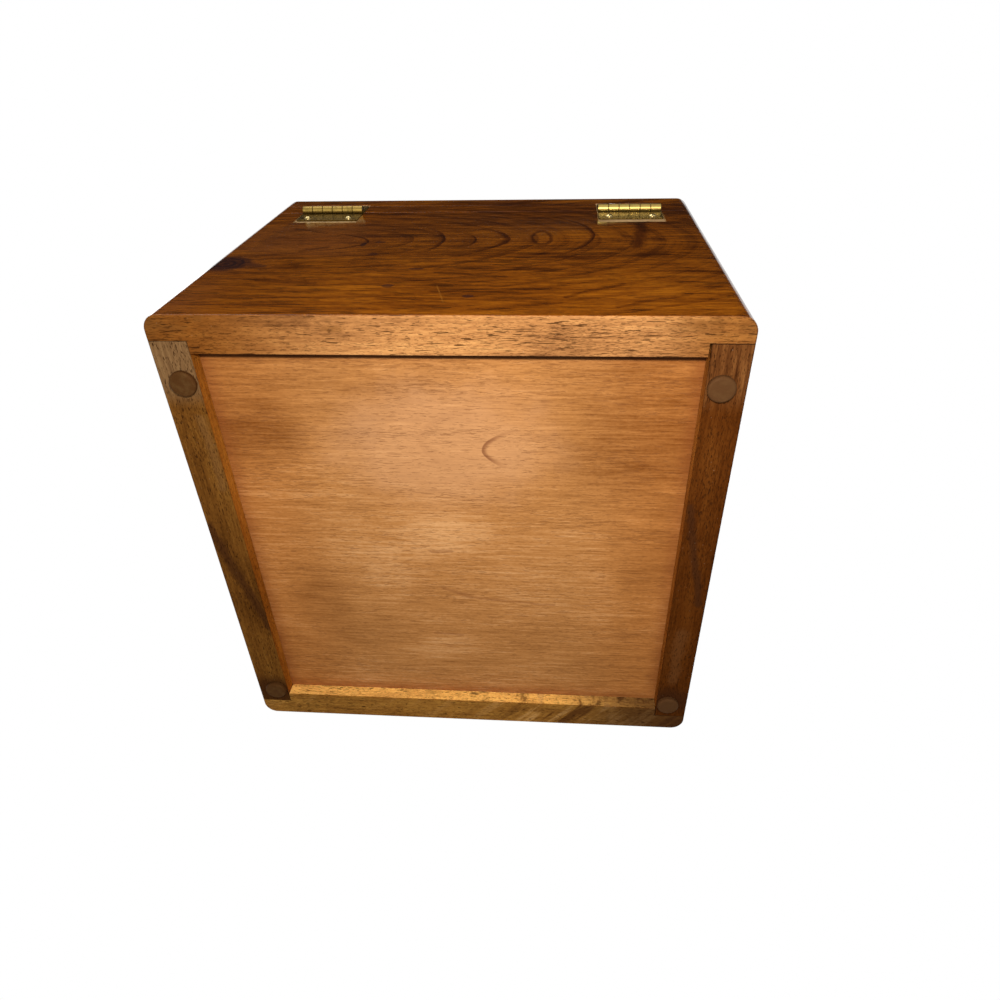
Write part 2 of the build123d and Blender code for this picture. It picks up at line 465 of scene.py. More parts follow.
@effect("Point Start End", "Width Wander", "Mask")
def soft_stroke(g: Graph, at: Wire, start: Wire, end: Wire, width: Wire, wander: Wire) -> Masks:
    """A soft, nearly straight mark between two points: a scratch, a streak or a stain.

    The distance to the line, with the point moved by slow noise and roughened by fine noise, is cut off.

    Args:
        g: The group's graph.
        at: The point.
        start: One end.
        end: The other end.
        width: Where the mark ends at its sides.
        wander: How far slow noise moves it.

    Returns:
        Its mask.
    """
    run = g.vectors("SUBTRACT", end, start)
    sway = wander * (2.0 * g.noise(at, 0.06, 2.0, 0.5, 1.9) - 1.0)
    here = g.vectors("SUBTRACT", g.vectors("MULTIPLY_ADD", sway, (1.0, 1.0, 0.0), at), start)
    share = g.vectors("DOT_PRODUCT", here, run, output="Value")
    share = g.lesser(g.greater(share / g.vectors("DOT_PRODUCT", run, run, output="Value"), 0.0), 1.0)
    gap = g.vectors("DISTANCE", here, g.vectors("MULTIPLY", run, share), output="Value")
    rough = 1.0 + 1.5 * (g.noise(at, 0.3, 3.0, 0.6, 7.7) - 0.5)
    return g.smooth(gap * rough, width, 0.2 * width)


def oval_distance(g: Graph, at: Wire, centre: Wire, radii: Wire) -> Wire:
    """How far a point is from a centre, in radii."""
    away = g.vectors("DIVIDE", g.vectors("SUBTRACT", at, centre), radii)
    return g.vectors("LENGTH", away, output="Value")


@effect("Point Centre Radii", "", "Core Rim Whorl Halo")
def knot(g: Graph, at: Wire, centre: Wire, radii: Wire) -> Masks:
    """A knot: the core is inside the radii, the rim is near them, and the whorl repeats on both sides.

    Args:
        g: The group's graph.
        at: The point.
        centre: The knot's middle.
        radii: Its radii.

    Returns:
        Masks of the core, the rim, the rings round it and the wood that parts for it.
    """
    radius = oval_distance(g, at, centre, radii) + 0.5 * (g.noise(at, 0.13, 3.0, 0.55, 1.3) - 0.5)
    rim = g.smooth(radius, 0.72, 0.95) * g.smooth(radius, 1.35, 1.0)
    whorl = (0.5 + 0.5 * g.math("SINE", radius * 17.0)) * g.smooth(radius, 2.1, 0.7)
    return g.smooth(radius, 1.12, 0.8), rim, whorl, g.smooth(radius, 2.6, 0.9)


@effect("Point Centre Radii", "", "Mask")
def soft_blot(g: Graph, at: Wire, centre: Wire, radii: Wire) -> Masks:
    """A soft-edged oval patch, whose outline is moved by slow noise.

    Args:
        g: The group's graph.
        at: The point.
        centre: The patch's middle.
        radii: Its radii.

    Returns:
        Its mask.
    """
    radius = oval_distance(g, at, centre, radii) + 0.9 * (g.noise(at, 0.05, 4.0, 0.6, 2.8) - 0.5)
    return g.smooth(radius, 1.45, 0.5)


@effect("Point", "Edge Reach", "Rub Chip")
def edge_wear(g: Graph, at: Wire, edge: Wire, reach: Wire) -> Masks:
    """Rubbed and chipped places along the outer edges.

    Args:
        g: The group's graph.
        at: The point.
        edge: How far the edge is.
        reach: How far wear goes from it.

    Returns:
        Masks of rubbing, from coarse noise, and of chips, from fine noise.
    """
    coarse = g.noise(at, 0.07, 4.0, 0.65, 6.1)
    fine = g.noise(at, 0.42, 2.0, 0.5, 8.3)
    rub = g.smooth(edge, reach, 0.0) * g.smooth(coarse, 0.42, 0.75)
    return rub, g.smooth(edge, 0.5 * reach, 0.0) * g.smooth(fine, 0.56, 0.64)


@effect("Point", "", "Smear Speck Scratch")
def handling_marks(g: Graph, at: Wire) -> Masks:
    """What use leaves on a surface.

    Args:
        g: The group's graph.
        at: The point.

    Returns:
        Masks of smears, of dust specks and of hair scratches, which are two stretched noises at a slant.
    """
    smear = g.smooth(g.noise(at, (0.03, 0.045, 0.03), 4.0, 0.6, 1.9), 0.35, 0.75)
    speck = g.smooth(g.noise(at, 0.9, 1.0, 0.5, 4.9), 0.745, 0.8)
    x, y, z = g.split(at)
    slant = g.join(x + 0.6 * z, y - 0.5 * x, z - 0.4 * x + 0.3 * y)
    first = g.noise(slant, (0.015, 0.9, 1.9), 1.0, 0.5, 2.7)
    second = g.noise(slant, (1.7, 0.7, 0.02), 1.0, 0.5, 6.3)
    return smear, speck, g.greater(g.smooth(first, 0.745, 0.79), g.smooth(second, 0.76, 0.8))


def toned(g: Graph, tone: Wire, middle: Source) -> Wire:
    """A wood colour for each tone: the middle colour at a half, redder below it, paler above.

    Args:
        g: The material's graph.
        tone: The tone, from 0 to 1.
        middle: The middle colour.

    Returns:
        The colour: twice the middle colour times a grey that the tone picks.
    """
    grey = g.ramp(tone, (0.12, (0.15, 0.12, 0.125)), (0.5, (0.5, 0.5, 0.5)), (0.88, (0.825, 0.95, 1.0)))
    half = g.tinted(middle, grey)
    return g.mix(1.0, half, half, "ADD")


class Grain(Enum):
    """Which way a board's grain runs, and so how a point is read as along, across and into the board."""

    ALONG_X = "x"
    ALONG_Y = "y"
    ALONG_X_FLAT = "flat"

    def read(self, g: Graph, at: Wire) -> Wire:
        """The point as along the grain, across the face and into the board."""
        x, y, z = g.split(at)
        orders = {Grain.ALONG_X: (x, z, y), Grain.ALONG_Y: (y, z, x), Grain.ALONG_X_FLAT: (x, y, z)}
        return g.join(*orders[self])


def blank_material(name: str) -> tuple[bpy.types.Material, Graph]:
    """An empty node material, and a graph on its tree."""
    material = bpy.data.materials.new(name)
    material.use_nodes = True
    material.node_tree.nodes.clear()
    return material, Graph(material.node_tree)


@dataclass(frozen=True)
class Gloss:
    """How a surface shines: the numbers that are the same all over it."""

    specular: float = 0.0
    coat_roughness: float = 0.12
    coat_ior: float = 1.5

    def surface(self, name: str) -> tuple[bpy.types.Material, Graph, bpy.types.Node]:
        """Makes a material with one Principled BSDF.

        Args:
            name: The material's name.

        Returns:
            The material, a graph on its tree, and the shader.
        """
        material, g = blank_material(name)
        shader = g.node("ShaderNodeBsdfPrincipled", {
            "Specular IOR Level": self.specular, "Coat Roughness": self.coat_roughness,
            "Coat IOR": self.coat_ior})
        g.node("ShaderNodeOutputMaterial", {"Surface": g.wire(shader)})
        return material, g, shader


def dress(g: Graph, shader: bpy.types.Node, feeds: dict[str, Wire], height: Wire) -> None:
    """Feeds a shader.

    Args:
        g: The material's graph.
        shader: The Principled BSDF.
        feeds: What its sockets take, by name.
        height: The height of a bump that feeds its normal, in millimetres.
    """
    bump = g.node("ShaderNodeBump", {"Strength": 1.0, "Distance": MM, "Height": height})
    for name, wire in {**feeds, "Normal": g.wire(bump)}.items():
        g.feed(shader.inputs[name], wire)


@dataclass(frozen=True)
class Layer:
    """One noise in a wood's figure: bumps in a millimetre each way, octaves, their strength, and a seed."""

    per_mm: Triple
    detail: float
    roughness: float
    seed: float

    def over(self, g: Graph, at: Wire) -> Wire:
        """The noise at a point, from -0.5 to 0.5."""
        return g.noise(at, self.per_mm, self.detail, self.roughness, self.seed) - 0.5


@dataclass(frozen=True)
class Marks:
    """What a board shows besides its rings: masks from 0 to 1, and a change of tone."""

    dark: Wire
    burnt: Wire
    warm: Wire
    pale: Wire
    tone: Source = 0.0


@dataclass(frozen=True)
class BoardFinish:
    """Stained board, glossy varnish outside, bare on the underside and inside."""

    name: str
    grain: Grain
    heart: Triple
    taper: float = 0.3
    spacing: float = 9.0
    sway: float = 9.0
    seed: float = 0.0
    ring_strength: float = 0.3
    stain: Rgb = (0.215, 0.0545, 0.0020)
    under: Rgb = (0.42, 0.18, 0.056)
    # The recess strip below the bottom panel, a copy of the bare wood tuned to how the flash lights it:
    # painted light, much brighter than the wood on the front board.
    recess_as_lit: Rgb = (0.50, 0.22, 0.062)
    interior: Rgb = (0.40, 0.185, 0.062)
    mortise: Rgb = (0.56, 0.35, 0.16)
    pale: Rgb = (0.36, 0.13, 0.014)
    warm: Rgb = (0.22, 0.062, 0.012)
    shade: Rgb = (0.34, 0.25, 0.30)
    dash: Rgb = (0.050, 0.013, 0.001)
    pore: Rgb = (0.036, 0.011, 0.003)
    burnt: Rgb = (0.020, 0.007, 0.009)
    glue: Rgb = (0.024, 0.009, 0.004)
    dust: Rgb = (0.5, 0.36, 0.22)
    pore_length: float = 9.0
    flow: float = 16.0
    wear_reach: float = 2.8
    # Noises along the grain, across the face and into the board.
    fibre: Layer = Layer((0.03, 0.9, 0.9), 3.0, 0.6, 1.1)
    flame: Layer = Layer((0.05, 0.36, 0.36), 4.0, 0.62, 7.4)
    band: Layer = Layer((0.008, 0.11, 0.11), 3.0, 0.55, 2.9)
    cloud: Layer = Layer((0.012, 0.02, 0.02), 3.0, 0.5, 4.3)
    mottle: Layer = Layer((0.3, 0.8, 0.8), 2.0, 0.6, 8.7)
    gloss: Gloss = Gloss(coat_ior=1.36)

    def local(self, g: Graph, at: Wire, colour: Wire, place: Place) -> Wire:
        """The colour with this one board's stains in it. A plain board has none.

        Args:
            g: The material's graph.
            at: The point.
            colour: The colour so far.
            place: Where on the box the point is.

        Returns:
            The changed colour.
        """
        return colour

    def marks(self, g: Graph, at: Wire) -> Marks:
        """Features of this one board. A plain board has a few weak streaks and spots of its own.

        Args:
            g: The material's graph.
            at: The point.

        Returns:
            The masks.
        """
        board = self.grain.read(g, at)
        streak = g.noise(board, (0.009, 0.13, 0.13), 3.0, 0.55, 12.7 + self.seed)
        spot = g.noise(board, (0.05, 0.12, 0.12), 2.0, 0.5, 20.1 + self.seed)
        slow = g.noise(board, (0.006, 0.02, 0.02), 1.0, 0.5, 31.3 + self.seed)
        return Marks(dark=0.55 * g.smooth(streak, 0.6, 0.74), burnt=0.7 * g.smooth(spot, 0.76, 0.82),
                     warm=0.35 * g.smooth(slow, 0.5, 0.7), pale=0.5 * g.smooth(streak, 0.4, 0.28))

    def material(self) -> bpy.types.Material:
        """Builds the board's material.

        Returns:
            The material.
        """
        material, g, shader = self.gloss.surface(self.name)
        at = g.point()
        _, _, z = g.split(at)
        plain = self.grain.read(g, at)
        along, across, depth = g.split(plain)
        bend = g.noise(plain, (0.008, 0.02, 0.02), 2.0, 0.5, 6.6 + self.seed) - 0.5
        board = g.join(along + self.seed * 31.0, across + self.flow * bend, depth)
        place = Place(*place_on_box(g, at))
        late, fine = growth_rings(g, plain, self.heart, self.taper, self.spacing, self.sway)
        short_pores = wood_pores(g, g.moved(board, (7.0, 3.0, 5.0)), 2.6, 0.34, 1.1)
        pores = g.greater(wood_pores(g, board, self.pore_length, 0.6, 0.85), 0.6 * short_pores)
        dashes = wood_pores(g, g.moved(board, (90.0, 8.0, 2.0)), 12.0, 1.5, 1.0)
        fibre, flame, band, cloud, mottle = (
            layer.over(g, board) for layer in (self.fibre, self.flame, self.band, self.cloud, self.mottle))
        marks = self.marks(g, at)
        rub, chip = edge_wear(g, at, place.edge, self.wear_reach)
        smear, speck, scratch = handling_marks(g, at)
        raw = g.greater(place.under, place.inside)
        bare = g.greater(raw, 0.45 * rub * g.smooth(place.edge, 1.1, 0.2), chip)

        tone = 0.5 + 0.6 * fibre + (1.35 - raw) * flame + (1.0 - 0.6 * raw) * band
        tone = tone + (0.9 - 0.3 * raw) * cloud + 0.35 * mottle + (1.0 - raw) * marks.tone
        tone = tone - (1.0 - 0.85 * raw) * (self.ring_strength * late + 0.06 * fine)
        stained = g.mix(marks.pale, toned(g, tone, self.stain), self.pale)
        stained = g.mix(marks.warm, stained, self.warm)
        # Painted light: below the bottom panel the inner faces take the recess colour as the flash lights it,
        # above it the interior colour.
        inner = g.mix(g.smooth(z, 17.0, 15.0), self.interior, self.recess_as_lit)
        inner = toned(g, tone, g.mix(place.pocket, inner, self.mortise))
        colour = g.mix(bare, stained, g.mix(place.inside, toned(g, tone, self.under), inner))
        colour = g.tinted(colour, g.mix(marks.dark * (1.0 - 0.6 * raw), WHITE, self.shade))
        colour = self.local(g, at, colour, place)
        for share, tint in ((0.5 * dashes * (1.0 - 0.8 * raw), self.dash),
                            ((0.62 + 0.2 * bare) * pores, self.pore), (marks.burnt, self.burnt),
                            (0.8 * place.joint, self.glue), (0.25 * speck * bare, self.dust)):
            colour = g.mix(share, colour, tint)

        roughness = 0.46 + 0.14 * bare + 0.10 * fibre + 0.10 * smear + 0.1 * scratch
        coat = (1.0 - bare) * (1.0 - 0.25 * smear) * (1.0 - 0.5 * pores)
        height = ((0.02 + 0.07 * bare) * fibre - (0.03 + 0.08 * bare) * pores - 0.15 * place.joint
                  - 0.012 * scratch - 0.16 * chip + 0.01 * late)
        dress(g, shader, {"Base Color": colour, "Roughness": roughness, "Coat Weight": coat}, height)
        return material


@dataclass(frozen=True)
class BackBoardFinish(BoardFinish):
    """The back board, with the flame figure, the knot and the marks that the photograph shows."""

    # Late-wood lines: apex x and z, bend above and below, width, reach.
    arcs: tuple[tuple[float, ...], ...] = (
        (55.0, 113.0, 0.066, 0.090, 0.9, 26.0),
        (13.4, 117.0, 0.0205, 0.0145, 1.5, 27.0),
        (-4.0, 116.0, 0.030, 0.030, 0.8, 14.0),
        (-22.6, 117.0, 0.0265, 0.034, 1.9, 27.0),
        (-69.0, 127.0, 0.0143, 0.0119, 1.3, 52.0),
    )
    # Dark lines: x and z of both ends, width, strength.
    lines: tuple[tuple[float, ...], ...] = (
        (-97.0, 150.0, -91.0, 103.0, 5.5, 0.85), (104.0, 141.0, 84.0, 132.0, 1.6, 0.6),
        (88.0, 96.0, 76.0, 104.0, 3.0, 0.5), (-52.0, 82.0, -104.0, 90.0, 2.2, 0.45),
        (-86.0, 122.0, -104.0, 116.0, 4.0, 0.6), (-52.0, 26.0, -78.0, 44.0, 2.4, 0.6),
        (-74.0, 14.0, -108.0, 30.0, 2.0, 0.5), (96.0, 50.0, 66.0, 44.0, 2.6, 0.5),
        (10.0, 60.0, -24.0, 54.0, 2.0, 0.5), (46.0, 30.0, 12.0, 22.0, 2.2, 0.45),
    )
    # Small dark spots: x, z, radius along, radius up.
    spots: tuple[tuple[float, ...], ...] = (
        (57.0, 109.0, 1.6, 4.0), (48.5, 113.0, 3.2, 1.6), (48.0, 91.0, 3.0, 1.8),
        (21.0, 66.0, 4.0, 1.4), (-9.0, 27.0, 2.6, 2.0), (30.0, 41.0, 3.0, 2.4),
    )
    end_tint: Rgb = (0.52, 0.39, 0.20)
    crept: Rgb = (0.17, 0.062, 0.013)

    def marks(self, g: Graph, at: Wire) -> Marks:
        """Places the photographed features on the board, by x and z.

        Args:
            g: The material's graph.
            at: The point.

        Returns:
            The masks.
        """
        x, _, z = g.split(at)
        flat = g.join(x, z, 0.0)
        arcs = [dark_arc(g, flat, (apex_x, apex_z, 0.0), *shape) for apex_x, apex_z, *shape in self.arcs]
        eye_rim = knot(g, flat, (-40.0, 120.5, 0.0), (5.2, 12.5, 9.0))[1]
        lines = [weight * soft_stroke(g, flat, (x0, z0, 0.0), (x1, z1, 0.0), width, 2.5)
                 for x0, z0, x1, z1, width, weight in self.lines]
        dark = g.greater(*arcs, 0.8 * eye_rim, *lines)
        core, rim, whorl, halo = knot(g, flat, (121.0, 75.0, 0.0), (10.5, 10.5, 9.0))
        spots = [0.6 * knot(g, flat, (spot_x, spot_z, 0.0), (radius_x, radius_z, 9.0))[0]
                 for spot_x, spot_z, radius_x, radius_z in self.spots]
        trail = soft_stroke(g, flat, (109.0, 74.0, 0.0), (101.0, 71.0, 0.0), 4.0, 1.0)
        burnt = g.greater(0.96 * core * (0.8 + 0.2 * whorl), 0.7 * rim, *spots, 0.6 * trail)
        haze = g.smooth(x, 44.0, 80.0) * g.smooth(z, 78.0, 100.0) * g.smooth(z, 160.0, 136.0)
        red = g.smooth(x, 96.0, 126.0) * g.smooth(z, 72.0, 24.0)
        scratch = soft_stroke(g, flat, (7.0, 41.0, 0.0), (1.0, 19.0, 0.0), 0.5, 0.3)
        gold = soft_blot(g, flat, (-84.0, 28.0, 0.0), (46.0, 20.0, 9.0))
        shadow = soft_blot(g, flat, (20.0, 150.0, 0.0), (70.0, 26.0, 9.0))
        tone = 0.05 * g.smooth(z, 115.0, 20.0) - 0.06 * g.smooth(z, 125.0, 200.0) - 0.1 * dark
        tone = tone + 0.11 * gold - 0.05 * shadow - 0.05 * g.smooth(x, 60.0, -60.0) + 0.11 * haze
        streak = g.noise(self.grain.read(g, at), (0.009, 0.13, 0.13), 3.0, 0.55, 12.7 + self.seed)
        return Marks(dark=g.greater(dark, 0.5 * g.smooth(streak, 0.62, 0.72)), burnt=burnt,
                     warm=g.greater(0.55 * haze, 0.6 * red, 0.35 * halo), pale=0.5 * scratch, tone=tone)

    def local(self, g: Graph, at: Wire, colour: Wire, place: Place) -> Wire:
        """Both ends of the underside are darker, and the stain has crept round the edge there.

        Args:
            g: The material's graph.
            at: The point.
            colour: The colour so far.
            place: Where on the box the point is.

        Returns:
            The changed colour.
        """
        x, y, _ = g.split(at)
        ends = g.greater(g.smooth(x, 28.0, 112.0), 0.85 * g.smooth(x, -84.0, -122.0))
        colour = g.tinted(colour, g.mix(ends * place.under, WHITE, self.end_tint))
        ragged = g.smooth(g.noise(at, (0.09, 0.16, 0.16), 4.0, 0.6, 3.6), 0.4, 0.58)
        creep = g.smooth(y, 119.0, 127.0) * g.smooth(abs(x), 84.0, 116.0) * ragged
        colour = g.mix(0.7 * creep * place.under, colour, self.crept)
        smudge = soft_blot(g, at, (47.0, 124.5, 3.0), (5.0, 1.5, 4.0))
        return g.mix(0.5 * smudge * place.under, colour, self.crept)


@dataclass(frozen=True)
class SideBoardFinish(BoardFinish):
    """A side board, whose underside has a slanted dark streak, a light streak, a darker patch round the front
    foot and another colour at its back end. Streaks are given by their ends, the patch by centre and radii."""

    streak: tuple[Triple, Triple] = ((131.0, 16.0, 3.0), (113.0, -60.0, 3.0))
    streak_width: float = 4.5
    end_wood: Rgb = (0.22, 0.113, 0.043)
    end_lines: float = 0.7
    dark_patch_at_foot: tuple[Triple, Triple] = ((123.0, -114.0, 3.0), (15.0, 13.0, 6.0))
    dark_mark_colour: Rgb = (0.055, 0.018, 0.006)
    light_streak: tuple[Triple, Triple] = ((118.0, 80.0, 3.0), (117.0, 40.0, 3.0))
    light_share: float = 0.25
    light_width: float = 3.5
    wander: float = 2.0

    def local(self, g: Graph, at: Wire, colour: Wire, place: Place) -> Wire:
        """The streaks, the darker patch round the foot and the back end's colour.

        Args:
            g: The material's graph.
            at: The point.
            colour: The colour so far.
            place: Where on the box the point is.

        Returns:
            The changed colour.
        """
        _, y, _ = g.split(at)
        lines = g.noise(at, (0.7, 0.045, 0.7), 3.0, 0.6, 4.6 + self.seed)
        end = toned(g, 0.5 + self.end_lines * (lines - 0.5), self.end_wood)
        light = soft_stroke(g, at, *self.light_streak, self.light_width, self.wander)
        dark = soft_stroke(g, at, *self.streak, self.streak_width, self.wander)
        for share, tint in ((g.smooth(y, 84.0, 98.0), end), (self.light_share * light, self.end_wood),
                            (0.75 * dark, self.dark_mark_colour),
                            (0.85 * soft_blot(g, at, *self.dark_patch_at_foot), self.dark_mark_colour)):
            colour = g.mix(place.under * share, colour, tint)
        return colour


@dataclass(frozen=True)
class FrontBoardFinish(BoardFinish):
    """The front board, whose lower edge is crossed by light and dark streaks towards the left."""

    dark_streak: Rgb = (0.10, 0.032, 0.007)
    light_streak: Rgb = (0.70, 0.37, 0.12)
    dark_end: Rgb = (0.070, 0.026, 0.009)

    def local(self, g: Graph, at: Wire, colour: Wire, place: Place) -> Wire:
        """Slanted noise, cut off high and low, gives the streaks, and the left end is darkest.

        Args:
            g: The material's graph.
            at: The point.
            colour: The colour so far.
            place: Where on the box the point is.

        Returns:
            The changed colour.
        """
        x, y, z = g.split(at)
        low = g.smooth(z, 20.0, 14.0) * g.greater(place.under, place.inside)
        slant = g.join(x + 0.9 * y, 0.3 * y, 0.6 * z)
        cross = g.noise(slant, (0.12, 0.1, 0.1), 3.0, 0.6, 5.5)
        share = low * (0.2 + 0.8 * g.smooth(x, 0.0, -50.0))
        colour = g.mix(0.8 * share * g.smooth(cross, 0.52, 0.64), colour, self.dark_streak)
        colour = g.mix(0.55 * share * g.smooth(cross, 0.47, 0.36), colour, self.light_streak)
        return g.mix(0.82 * low * g.smooth(x, -36.0, -108.0), colour, self.dark_end)


@dataclass(frozen=True)
class VeneerFinish:
    """Bare plywood: a reddish face veneer peeled from the log, with patches, a ring and streaks, and painted
    light: a shadow line along the back wall, shade towards the back edge and sheen in the middle.
    """

    name: str = "bare_plywood"
    light: Rgb = (0.78, 0.42, 0.180)
    middle: Rgb = (0.47, 0.200, 0.058)
    dark: Rgb = (0.20, 0.066, 0.013)
    # Tint that makes the sides more orange, so that the middle stays paler: partly the veneer's colour,
    # partly a painted sheen of the flash.
    side_tint: Rgb = (1.0, 0.80, 0.55)
    rosy_and_sheen: Rgb = (0.62, 0.32, 0.15)
    # A pale pink colour for the middle and the back: partly the veneer's colour, partly a painted sheen of
    # the flash.
    fleck: Rgb = (0.18, 0.062, 0.020)
    ring: Rgb = (0.17, 0.05, 0.018)
    streak: Rgb = (0.20, 0.062, 0.02)
    # Colour of the darkening near the inner walls.
    wall_darkening: Rgb = (0.20, 0.055, 0.014)
    # Painted shadow: a near-black line on the plywood along the back board's inner edge, where the back board
    # casts its shadow.
    back_wall_painted_shadow: Rgb = (0.035, 0.010, 0.006)
    gloss: Gloss = Gloss()
    # Noises by x, y and z.
    fibre: Layer = Layer((0.045, 1.0, 1.0), 3.0, 0.65, 3.3)
    thread: Layer = Layer((0.06, 0.55, 0.55), 3.0, 0.6, 7.9)
    line: Layer = Layer((0.014, 0.16, 0.16), 2.0, 0.5, 6.2)
    cloud: Layer = Layer((0.014, 0.022, 0.022), 3.0, 0.5, 1.5)
    mottle: Layer = Layer((0.45, 0.8, 0.8), 2.0, 0.6, 4.1)
    # Patches, darker where the last number is above 0: centre x and y, radii along and across, strength.
    patches: tuple[tuple[float, ...], ...] = (
        (97.0, 66.0, 24.0, 18.0, 0.20), (81.5, -41.6, 18.0, 24.0, 0.12), (47.6, -69.4, 30.0, 17.0, 0.13),
        (-100.0, 72.0, 50.0, 44.0, 0.17), (44.0, 66.0, 13.0, 9.0, 0.08), (-44.0, -66.0, 28.0, 15.0, 0.08),
        # The first patch below, lighter in the middle, is partly the veneer's pale colour and partly a
        # painted sheen of the flash.
        (3.4, 7.7, 24.0, 13.0, -0.13), (40.4, -22.0, 11.0, 22.0, -0.08), (11.6, -76.5, 19.0, 10.0, -0.08),
        (-88.0, -92.0, 40.0, 20.0, 0.10), (100.0, -96.0, 30.0, 22.0, 0.08), (-96.0, 4.0, 16.0, 50.0, 0.10),
    )
    # Streaks: x and y of both ends, width.
    streaks: tuple[tuple[float, ...], ...] = (
        (10.0, -31.0, -5.0, -36.5, 2.0), (16.0, -3.6, 5.0, -3.6, 1.8),
        (-5.0, -36.5, -52.0, -41.6, 1.3), (18.0, -66.0, 2.0, -67.0, 1.6),
    )
    face: float = 11.0

    def material(self) -> bpy.types.Material:
        """Builds the plywood's material.

        Returns:
            The material.
        """
        material, g, shader = self.gloss.surface(self.name)
        at = g.point()
        x, y, _ = g.split(at)
        fibre, thread, line, cloud, mottle = (
            layer.over(g, at) for layer in (self.fibre, self.thread, self.line, self.cloud, self.mottle))
        flecks = wood_pores(g, at, 4.0, 0.36, 1.0)
        dashes = wood_pores(g, g.moved(at, (40.0, 9.0, 0.0)), 9.0, 0.8, 0.8)
        # Painted shade: the veneer darkens towards the back edge, which the flash lights most; the patches
        # are added to the same value.
        stain = 0.10 * g.smooth(y, 10.0, 105.0)
        for patch_x, patch_y, radius_x, radius_y, strength in self.patches:
            patch = soft_blot(g, at, (patch_x, patch_y, self.face + 2.5), (radius_x, radius_y, 40.0))
            stain = stain + strength * patch
        flat = g.join(0.0 - x, y, 0.0)
        ring = dark_arc(g, flat, (14.3, 60.4, 0.0), 0.13, 0.10, 1.1, 12.0)
        wide_ring = dark_arc(g, flat, (-38.0, 57.0, 0.0), 0.03, 0.02, 3.0, 40.0)
        second_ring = dark_arc(g, flat, (-16.0, 66.0, 0.0), 0.08, 0.04, 2.4, 22.0)
        streaks = g.greater(*(soft_stroke(g, at, (x0, y0, self.face), (x1, y1, self.face), width, 2.6)
                              for x0, y0, x1, y1, width in self.streaks))
        tone = 0.5 + 0.62 * fibre + 0.3 * thread + 0.2 * line - stain
        tone = tone + 0.36 * cloud + 0.06 * wide_ring + 0.22 * mottle
        colour = g.ramp(tone, (0.08, self.dark), (0.5, self.middle), (0.92, self.light))
        # Sides more orange than the middle: the paler middle is partly a painted sheen of the flash.
        colour = g.mix(0.55 * g.smooth(abs(x), 52.0, 112.0), colour, g.tinted(colour, self.side_tint))
        # Pale pink patch over the middle and the back, partly a painted sheen of the flash.
        rosy_and_sheen = soft_blot(g, at, (6.0, 62.0, self.face + 2.5), (52.0, 34.0, 40.0))
        wall = g.lesser(SHOULDER - abs(x), BACK_INNER - y, y - FRONT_INNER)
        # Darker within 9 mm of the inner walls, broken up by noise.
        wall_darkening = g.smooth(wall, 9.0, 0.0) * g.noise(at, 0.08, 3.0, 0.6, 9.1)
        # Painted shadow: the plywood is darkened in a thin line along the back board's inner edge.
        back_wall_painted_shadow = g.smooth(BACK_INNER - y, 5.6, 4.2)
        for share, tint in ((0.45 * rosy_and_sheen, self.rosy_and_sheen), (g.greater(0.5 * flecks, 0.4 * dashes), self.fleck),
                            (g.greater(0.7 * ring, 0.1 * second_ring), self.ring),
                            (0.36 * streaks, self.streak), (0.8 * wall_darkening, self.wall_darkening),
                            (0.8 * back_wall_painted_shadow, self.back_wall_painted_shadow)):
            colour = g.mix(share, colour, tint)
        smear, _, scratch = handling_marks(g, at)
        dress(g, shader, {"Base Color": colour, "Roughness": 0.58 + 0.16 * fibre + 0.08 * smear},
              0.05 * fibre - 0.05 * flecks - 0.03 * dashes - 0.02 * scratch)
        return material


